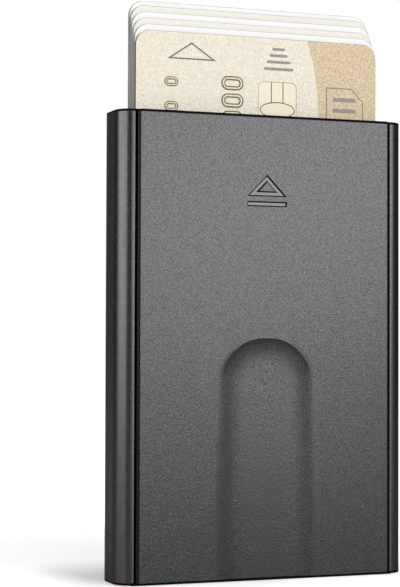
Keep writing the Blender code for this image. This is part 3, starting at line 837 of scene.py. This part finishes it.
grip = add_block("dressed_grip", grip_low, (grip_high.x, grip_low.y + grip_base, grip_high.z))
bevel(grip, grip_radius, everywhere, 8, along="Y")
bevel(grip, grip_bevel, lies_at("Y", grip_low.y + grip_base), 2)
rib_pitch = (grip_high.z - grip_low.z - 2 * rib_end_margin) / rib_count
rib_half = 0.29 * rib_pitch
rib_low_z = grip_low.z + rib_end_margin + rib_pitch / 2 - rib_half
first_rib = add_block("rib", (grip_low.x + rib_side_margin, grip_low.y + grip_base / 2, rib_low_z),
                      (grip_high.x - rib_side_margin, grip_high.y, rib_low_z + 2 * rib_half))
bevel(first_rib, 0.9 * rib_half, everywhere, 4, along="Y")
bevel(first_rib, rib_bevel, lies_at("Y", grip_high.y), 3)
ribs = [first_rib]
for number in range(1, rib_count):
    take(first_rib)
    bpy.ops.object.duplicate(linked=False)
    bpy.ops.transform.translate(value=(0, 0, number * rib_pitch))
    ribs.append(settle(f"rib_{number + 1}"))
for rib in ribs:
    combine(grip, rib, "UNION")
smooth(grip)
finish_piece(grip, rubber, "slider_grip")

# %% [markdown]
# ## The cards
# All six cards are the same plate: 0.76 mm thick with round corners and a broken
# edge. Card stock is printed on both faces, and its cut side shows the layers of its
# core. On the white and cream cards that side is a darker grey, which is painted
# shade. The front card is gold with a fine metallic speckle, and a darker gold field
# sweeps over its right part. The edge of that field is part of a large circle, so
# the distance from the circle's centre tells the two golds apart.

# %% Card finishes
speckle_size = 0.24 * mm
speckle_range = (0.3, 0.7)
gold_pale = (0.72, 0.635, 0.49)
gold_light = (0.95, 0.885, 0.76)
gold_deep = (0.51, 0.375, 0.205)
gold_deep_light = (0.82, 0.66, 0.435)
field_centre = (-38.0 * mm, 0, 96.0 * mm)
field_radius = 51.4 * mm
field_blur = 0.05 * mm

card_gold = start_material("card_gold_print", gold_light, 0.42, Coat_Weight=0.15, Coat_Roughness=0.25)
speckles = spread(card_gold, noise(card_gold, speckle_size, 1), 0, 1, *speckle_range)
from_centre = add_node(card_gold, "ShaderNodeVectorMath", {
    0: object_point(card_gold, (1, 0, 1)), 1: field_centre}, operation="DISTANCE")
in_field = spread(card_gold, from_centre.outputs["Value"], 0, 1, field_radius - field_blur,
                  field_radius + field_blur)
feed(card_gold, "Base Color", blend(card_gold, in_field,
                                    blend(card_gold, speckles, gold_pale, gold_light),
                                    blend(card_gold, speckles, gold_deep, gold_deep_light)))


def speckled(name, colour, dark, light, size, roughness):
    """A satin print that sparkles from lump to lump."""
    material = start_material(name, colour, roughness, Coat_Weight=0.15)
    vary_colour(material, noise(material, size, 1), dark, light, *speckle_range)
    return material


def core_material(name, dark, light):
    """The cut side of a card, with the lines of its layers, between two given tones."""
    material = start_material(name, dark, 0.6)
    vary_colour(material, noise(material, 0.12 * mm, 1, (0.01, 1, 0.01)), dark, light)
    return material


card_white = speckled("card_white_print", (0.90, 0.90, 0.895), (0.93, 0.93, 0.925),
                      (0.97, 0.97, 0.965), 0.5 * mm, 0.4)
card_cream = speckled("card_cream_print", (0.88, 0.83, 0.74), (0.85, 0.80, 0.71),
                      (0.95, 0.92, 0.86), speckle_size, 0.42)
# The grey of this core is painted shade on the cards' sides; the layer lines on it are the card's own.
card_core = core_material("card_core", (0.13, 0.127, 0.121), (0.32, 0.313, 0.302))
gold_core = core_material("gold_card_core", (0.09, 0.055, 0.04), (0.17, 0.11, 0.08))
black_print = start_material("stripe_print", (0.015, 0.014, 0.014), 0.35, Coat_Weight=0.3)
vary_roughness(black_print, 0.6 * mm, 0.3, 0.42)
print("finishes so far:", len(bpy.data.materials))

# %% Six cards
card_radius = 3.18 * mm
card_bevel = 0.07 * mm
card_finishes = (card_gold, card_white, card_cream, card_white, card_cream, card_white)


def add_card(number, print_finish):
    """One card in its own CAD box, printed on its faces and plain on its sides."""
    low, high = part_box(f"card_{number}")
    card = add_block(f"dressed_card_{number}", low, high)
    bevel(card, card_radius, everywhere, 16, along="Y")
    bevel(card, card_bevel, lies_at("Y", low.y, high.y), 2)
    card.data.materials.append(print_finish)
    card.data.materials.append(gold_core if number == 1 else card_core)
    for face in card.data.polygons:
        face.material_index = 0 if abs(face.normal.y) > 0.95 else 1
    return card


cards = {number: add_card(number, finish) for number, finish in enumerate(card_finishes, 1)}
for number in range(2, 7):
    smooth(cards[number])
    finish_piece(cards[number], None, f"card_{number}")

# %% [markdown]
# The last card faces backwards out of the mouth, so its dark stripe would show there.
# It is a thin film with broken edges that lies on the card.

# %% Stripe on the back of the last card
stripe_width = 12.0 * mm
stripe_end_gap = 0.1 * mm
stripe_high_x = last_high.x - 5.5 * mm
film = 0.02 * mm
stripe = add_block("card_6_stripe",
                   (stripe_high_x - stripe_width, last_high.y - film, last_low.z + stripe_end_gap),
                   (stripe_high_x, last_high.y + film, last_high.z - stripe_end_gap))
bevel(stripe, 0.5 * film, lies_at("Y", last_high.y + film), 1)
smooth(stripe)
finish_piece(stripe, black_print, "card_6", replaces=False)

# %% [markdown]
# ## Print on the front card
# The print lies on the card as films a few hundredths of a millimetre thick, so its
# edges stay crisp from any distance. An outline is a filled face that is inset once
# and loses its middle. A bar is a block with rounded ends.

# %% Helpers for print
face_y = first_low.y
print_brown = (0.125, 0.105, 0.082)
brown_print = mottled("brown_print", print_brown, scaled(print_brown, 0.85),
                      scaled(print_brown, 1.2), 0.3 * mm, 0.45)
grey_print = mottled("grey_print", (0.30, 0.255, 0.235), (0.26, 0.22, 0.20), (0.36, 0.31, 0.29),
                     0.3 * mm, 0.45)


def add_bar(name, middle, size, radius, height=film, steps=6):
    """A flat bar on the front card, by its middle (x, z), its width and its height."""
    half_x, half_z = size[0] / 2, size[1] / 2
    bar = add_block(name, (middle[0] - half_x, face_y - height, middle[1] - half_z),
                    (middle[0] + half_x, face_y + film, middle[1] + half_z))
    if radius:
        bevel(bar, 0.98 * radius, everywhere, steps, along="Y")
    return bar


def add_outline(name, corners, stroke):
    """A thin outline on the front card through corners (x, z) in mm."""
    bpy.ops.mesh.primitive_circle_add(vertices=len(corners), radius=1, fill_type="NGON")
    outline = settle(name)
    for vertex, (x, z) in zip(outline.data.vertices, corners):
        vertex.co = (x * mm, face_y - film, z * mm)
    pick(outline, "FACE", everywhere)
    bpy.ops.mesh.inset(thickness=stroke)
    bpy.ops.mesh.delete(type="FACE")
    bpy.ops.mesh.select_all(action="SELECT")
    bpy.ops.mesh.extrude_region_move(TRANSFORM_OT_translate={"value": (0, 2 * film, 0)})
    bpy.ops.mesh.select_all(action="SELECT")
    bpy.ops.mesh.normals_make_consistent(inside=False)
    bpy.ops.object.mode_set(mode="OBJECT")
    return outline


def unite(name, pieces):
    """Joins separate pieces into one object."""
    take(pieces[0])
    for piece in pieces[1:]:
        piece.select_set(True)
    bpy.ops.object.join()
    return settle(name)


# %% [markdown]
# The arrow shows which way the card goes in. Next to it stand four bars that grow
# downwards, and at the right a box with a cut corner that holds two plain bars.

# %% Arrow, bars and box
arrow = add_outline("card_arrow", [(-20.4, 106.45), (-9.7, 106.45), (-15.1, 110.0)], 0.28 * mm)
finish_piece(arrow, brown_print, "card_1", replaces=False)

bar_x = 4.3 * mm
bar_stroke = 0.58 * mm
bar_widths = {109.75: 2.9, 108.4: 4.1, 107.05: 5.4, 105.6: 6.8}
growing_bars = unite("card_growing_bars", [
    add_bar("bar", (bar_x, z * mm), (width * mm, bar_stroke), bar_stroke / 2)
    for z, width in bar_widths.items()])
finish_piece(growing_bars, grey_print, "card_1", replaces=False)

cut_box = add_outline("card_cut_box", [(15.2, 88.0), (23.8, 88.0), (23.8, 99.7), (21.1, 102.4),
                                       (15.2, 102.4)], 0.16 * mm)
finish_piece(cut_box, brown_print, "card_1", replaces=False)
box_marks = unite("card_box_marks", [
    add_bar("mark", (19.4 * mm, z * mm), (5.2 * mm, 0.85 * mm), 0) for z in (99.9, 97.6)])
finish_piece(box_marks, grey_print, "card_1", replaces=False)

# %% [markdown]
# Raised marks run up the card in two columns. Each is a plain ring with round ends:
# a dark tipped ring below, and a narrower gold ridge on top of it.

# %% Raised rings
olive = (0.075, 0.055, 0.024)
tipping = mottled("raised_tipping", olive, scaled(olive, 0.75), scaled(olive, 1.35), 0.25 * mm, 0.4)
ridge_gold = mottled("raised_ridge", (0.60, 0.51, 0.33), (0.48, 0.40, 0.24), (0.72, 0.63, 0.44),
                     0.25 * mm, 0.35, 0.2)
tip_height = 0.06 * mm
ridge_height = 0.11 * mm
ring_columns = [(-6.1 * mm, (102.1, 98.5, 94.9), (4.9 * mm, 2.9 * mm), 0.86 * mm),
                (-19.5 * mm, (101.75, 96.7), (3.0 * mm, 2.0 * mm), 0.62 * mm)]


def add_ring(middle, size, stroke, height):
    """A flat ring with round ends that stands out from the card."""
    ring = add_bar("ring", middle, size, min(size) / 2, height, 8)
    hole = [side - 2 * stroke for side in size]
    combine(ring, add_bar("hole", middle, hole, min(hole) / 2, height + overrun, 8))
    return ring


tips = []
ridges = []
for x, places, size, stroke in ring_columns:
    inner = [side - 0.6 * stroke for side in size]
    for z in places:
        tips.append(add_ring((x, z * mm), size, stroke, tip_height))
        ridges.append(add_ring((x, z * mm), inner, 0.4 * stroke, ridge_height))
for name, rings, finish in (("card_ring_tips", tips, tipping),
                            ("card_ring_ridges", ridges, ridge_gold)):
    joined = unite(name, rings)
    smooth(joined)
    finish_piece(joined, finish, "card_1", replaces=False)

# %% [markdown]
# ## The contact plate
# A gilt plate sits flush in a pocket of the front card. Fine grooves part its
# contacts, and their dark floors are what the eye sees. The layout is a plain one:
# an oval pad in the middle, with a row of contacts above and below it.

# %% Contact plate
plate_low, plate_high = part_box("card_1_contact_plate")
plate_radius = 1.2 * mm
plate_bevel = 0.04 * mm
gilt = mottled("contact_gilt", (0.83, 0.73, 0.57), (0.80, 0.70, 0.54), (0.86, 0.76, 0.60),
               0.5 * mm, 0.4, 0.1, 3)
line_brown = mottled("contact_lines", (0.10, 0.065, 0.035), (0.07, 0.045, 0.025),
                     (0.14, 0.09, 0.05), 0.2 * mm, 0.6)

pocket_gap = 0.1 * mm
pocket = add_block("cut_pocket", plate_low - Vector((pocket_gap, overrun, pocket_gap)),
                   plate_high + Vector((pocket_gap, pocket_gap, pocket_gap)))
bevel(pocket, plate_radius + pocket_gap, everywhere, 8, along="Y")
combine(cards[1], pocket)
smooth(cards[1])
finish_piece(cards[1], None, "card_1")

plate = add_block("dressed_contact_plate", plate_low, plate_high)
bevel(plate, plate_radius, everywhere, 8, along="Y")
bevel(plate, plate_bevel, lies_at("Y", plate_low.y), 1)

# %% Contact plate: the lines between its contacts
groove_line = 0.21 * mm
line_depth = 0.06 * mm
plate_middle = (plate_low + plate_high) / 2
oval_half = (3.98 * mm, 1.7 * mm)
line_shares = (0.34, 0.65)
line_end_z = 0.93 * oval_half[1]


def add_oval(name, inset, low_y, high_y):
    """An oval prism round the middle of the plate."""
    oval = add_round(name, (0, (low_y + high_y) / 2, 0), 1, high_y - low_y, "Y", 56)
    for vertex in oval.data.vertices:
        vertex.co.x = plate_middle.x + vertex.co.x * (oval_half[0] - inset)
        vertex.co.z = plate_middle.z + vertex.co.z * (oval_half[1] - inset)
    return oval


line_span = (plate_low.y - overrun, plate_low.y + line_depth)
oval_line = add_oval("cut_oval", 0, *line_span)
combine(oval_line, add_oval("oval_pad", groove_line, line_span[0] - overrun, line_span[1] + overrun))
combine(plate, oval_line)
for share in line_shares:
    x = plate_low.x + share * (plate_high.x - plate_low.x)
    for start_z, end_z in ((plate_low.z - overrun, plate_middle.z - line_end_z),
                           (plate_middle.z + line_end_z, plate_high.z + overrun)):
        combine(plate, add_block("cut_line", (x - groove_line / 2, line_span[0], start_z),
                                 (x + groove_line / 2, line_span[1], end_z)))
plate.data.materials.append(gilt)
plate.data.materials.append(line_brown)
for face in plate.data.polygons:
    face.material_index = 1 if near(face.center.y, plate_low.y + line_depth, hair / 2) else 0
smooth(plate)
finish_piece(plate, None, "card_1_contact_plate")

# %% [markdown]
# ## Pieces that keep their CAD shape
# The lifter, its springs, the screws, the liners and the tapes are right as they
# are. They keep their meshes and only get a finish.

# %% Finishes of the inner pieces
inner_finish = {
    "card_lifter": acetal, "brake_spring_left": spring_steel, "brake_spring_right": spring_steel,
    "slider_screw_left": screw_steel, "slider_screw_right": screw_steel,
    "front_tape": tape_film, "back_tape": tape_film, "base_pad": rubber,
    "front_liner": felt, "back_liner_left": felt, "back_liner_right": felt,
}
for node, material in inner_finish.items():
    for material_slot in frame["nodes"][node].material_slots:
        material_slot.material = material
print("CAD nodes with a new finish:", len(inner_finish))

# %% [markdown]
# ## The studio
# The photograph was taken on a white sweep. A black object shows little but the
# lamps that it mirrors, so the lamps are placed where its faces mirror them to the
# camera. The white behind comes from the world, by ray type, so it adds no light to
# the object. A mirror sees that white only straight ahead, and a dim room elsewhere.

# %% Ray types
camera_yaw = math.radians(20.776)
view_ahead = Vector((math.sin(camera_yaw), math.cos(camera_yaw), 0))
patch_inner = math.cos(math.radians(20))
patch_outer = math.cos(math.radians(40))


def strongest(owner, values):
    """The largest of several values, as a chain of Math nodes."""
    last = values[0]
    for value in values[1:]:
        last = add_node(owner, "ShaderNodeMath", {0: last, 1: value}, operation="MAXIMUM").outputs[0]
    return last


def seen_directly(owner):
    """One for a ray that shows the backdrop: to the camera, a mirror or through glass."""
    path = add_node(owner, "ShaderNodeLightPath")
    return strongest(owner, [path.outputs["Is Camera Ray"], path.outputs["Is Glossy Ray"],
                             path.outputs["Is Transmission Ray"]])


def backdrop_level(owner, ahead, direction, elsewhere):
    """One for the camera; by reflection one near the direction ahead, and less elsewhere."""
    aligned = add_node(owner, "ShaderNodeVectorMath", {0: direction, 1: ahead},
                       operation="DOT_PRODUCT").outputs["Value"]
    patch = spread(owner, aligned, elsewhere, 1, patch_outer, patch_inner)
    path = add_node(owner, "ShaderNodeLightPath")
    return strongest(owner, [patch, path.outputs["Is Camera Ray"]])


# %% [markdown]
# The paper is lit by the lamps, and glows on top of that so that it shows white. The
# glow is weaker in a pool beside and behind the holder's left edge, where the
# photograph has its soft shadow. A point's distance from that pool is found by
# clamping the point into a box and drawing the difference out to the left.

# %% Floor
paper_white = 0.68
# The pool is a painted shadow: the paper's glow is lowest in it and rises away from it.
pool_low = (-33 * mm, 7 * mm, 0)
pool_high = (0, 14 * mm, 0)
pool_stretch = (2.2, 1, 0)
shadow_pool_glow = {"start": 0, "end": 22 * mm, "low": 0.28, "high": 0.62}
paper_glow = {"start": 40 * mm, "end": 100 * mm, "low": 0, "high": 1}
bpy.ops.mesh.primitive_plane_add(size=8, location=(0, 0, cad_low.z))
floor = settle("studio_floor")
paper = bpy.data.materials.new("studio_floor")
paper.use_nodes = True
paper.node_tree.nodes.clear()


def vector_step(operation, start, other, result="Vector"):
    """A Vector Math node of the paper between a link and a vector or another link."""
    return add_node(paper, "ShaderNodeVectorMath", {0: start, 1: other}, operation=operation).outputs[result]


place = object_point(paper)
in_shadow_pool = vector_step("MINIMUM", vector_step("MAXIMUM", place, pool_low), pool_high)
away = vector_step("MULTIPLY", vector_step("SUBTRACT", place, in_shadow_pool), pool_stretch)
distance = vector_step("LENGTH", away, (0, 0, 0), "Value")
glow_level = strongest(paper, [spread(paper, distance, **glow) for glow in (shadow_pool_glow, paper_glow)])

# %% Floor: glow by ray type
incoming = add_node(paper, "ShaderNodeNewGeometry").outputs["Incoming"]
by_ray = add_node(paper, "ShaderNodeMath", {0: glow_level, 1: seen_directly(paper)},
                  operation="MULTIPLY").outputs[0]
shown = add_node(paper, "ShaderNodeMath", {
    0: by_ray, 1: backdrop_level(paper, -view_ahead, incoming, 0)}, operation="MULTIPLY").outputs[0]
diffuse = add_node(paper, "ShaderNodeBsdfDiffuse", {"Color": (paper_white,) * 3}).outputs[0]
glow = add_node(paper, "ShaderNodeEmission", {"Color": (1, 1, 1), "Strength": shown}).outputs[0]
both = add_node(paper, "ShaderNodeAddShader", {0: diffuse, 1: glow}).outputs[0]
add_node(paper, "ShaderNodeOutputMaterial", {"Surface": both})
floor.data.materials.append(paper)
print("floor:", len(paper.node_tree.nodes), "nodes")

# %% World
ambient_level = 0.14
room_level = 0.20
world = bpy.data.worlds.new("studio_world")
world.use_nodes = True
world.node_tree.nodes.clear()
bpy.context.scene.world = world
direction = add_node(world, "ShaderNodeTexCoord").outputs["Generated"]
ambient = add_node(world, "ShaderNodeBackground", {"Color": (1, 1, 1), "Strength": ambient_level})
backdrop = add_node(world, "ShaderNodeBackground", {
    "Color": (1, 1, 1), "Strength": backdrop_level(world, view_ahead, direction, room_level)})
chosen = add_node(world, "ShaderNodeMixShader", {
    0: seen_directly(world), 1: ambient.outputs[0], 2: backdrop.outputs[0]})
add_node(world, "ShaderNodeOutputWorld", {"Surface": chosen.outputs[0]})
print("world:", len(world.node_tree.nodes), "nodes")

# %% [markdown]
# Four soft boxes light the object. The right one fills the front panel, and its tip
# in its own plane makes the light fall off lower down at the left. The left one draws
# the bright line along the rounded corner, and the upper one lights the cards. The
# rear one isn't in the photograph: it lets the back be read in other views.

# %% Soft boxes
target = Vector((0, 0, 60 * mm))


def add_soft_box(name, azimuth, elevation, distance, size, power, roll=0):
    """An area lamp that looks at the object; azimuth counts from the front to the left,
    and roll tips the lamp in its own plane."""
    turn = math.radians(azimuth)
    rise = math.radians(elevation)
    away = Vector((-math.sin(turn) * math.cos(rise), -math.cos(turn) * math.cos(rise), math.sin(rise)))
    bpy.ops.object.light_add(type="AREA", location=target + away * distance)
    lamp = bpy.context.active_object
    lamp.name = name
    tip = Quaternion((0, 0, 1), math.radians(roll))
    lamp.rotation_euler = (away.to_track_quat("Z", "Y") @ tip).to_euler()
    lamp.data.shape = "RECTANGLE"
    lamp.data.size, lamp.data.size_y = size
    lamp.data.energy = power
    print(f"{name}: {power} W, {distance} m away")


add_soft_box("right_soft_box", -24.6, 9.5, 0.80, (0.50, 0.33), 2.16, 22)
add_soft_box("left_soft_box", 71, 10.5, 0.60, (0.81, 0.30), 3.05)
add_soft_box("upper_soft_box", -10, 58, 0.80, (0.50, 0.35), 2.0)
add_soft_box("rear_soft_box", 165, 32, 0.90, (0.60, 0.40), 1.3)

# %% [markdown]
# ## The camera
# A pinhole was fitted to the edges of the holder and of the front card, so this is
# where the photograph was taken from: to the left, a third of a metre away, and at
# half the holder's height, looking up a little.

# %% Camera
camera_place = Vector((-139.99, -336.51, 48.41)) * mm
camera_pitch = math.radians(1.619)
camera_roll = math.radians(0.196)
camera_lens = 107.27

bpy.ops.object.camera_add(location=camera_place)
camera = bpy.context.active_object
camera.name = "studio_camera"
camera.rotation_mode = "XYZ"
camera.data.lens = camera_lens
camera.data.sensor_width = 36
camera.data.clip_start = 0.01
ahead = view_ahead * math.cos(camera_pitch) + Vector((0, 0, math.sin(camera_pitch)))
level = Vector((math.cos(camera_yaw), -math.sin(camera_yaw), 0))
upward = level.cross(ahead)
right = level * math.cos(camera_roll) + upward * math.sin(camera_roll)
above = upward * math.cos(camera_roll) - level * math.sin(camera_roll)
turned = Matrix((right, above, -ahead)).transposed()
camera.matrix_world = Matrix.LocRotScale(camera_place, turned, None)
bpy.context.scene.camera = camera
bpy.context.scene.view_settings.view_transform = "Standard"
print("camera at", [round(part, 4) for part in camera_place])
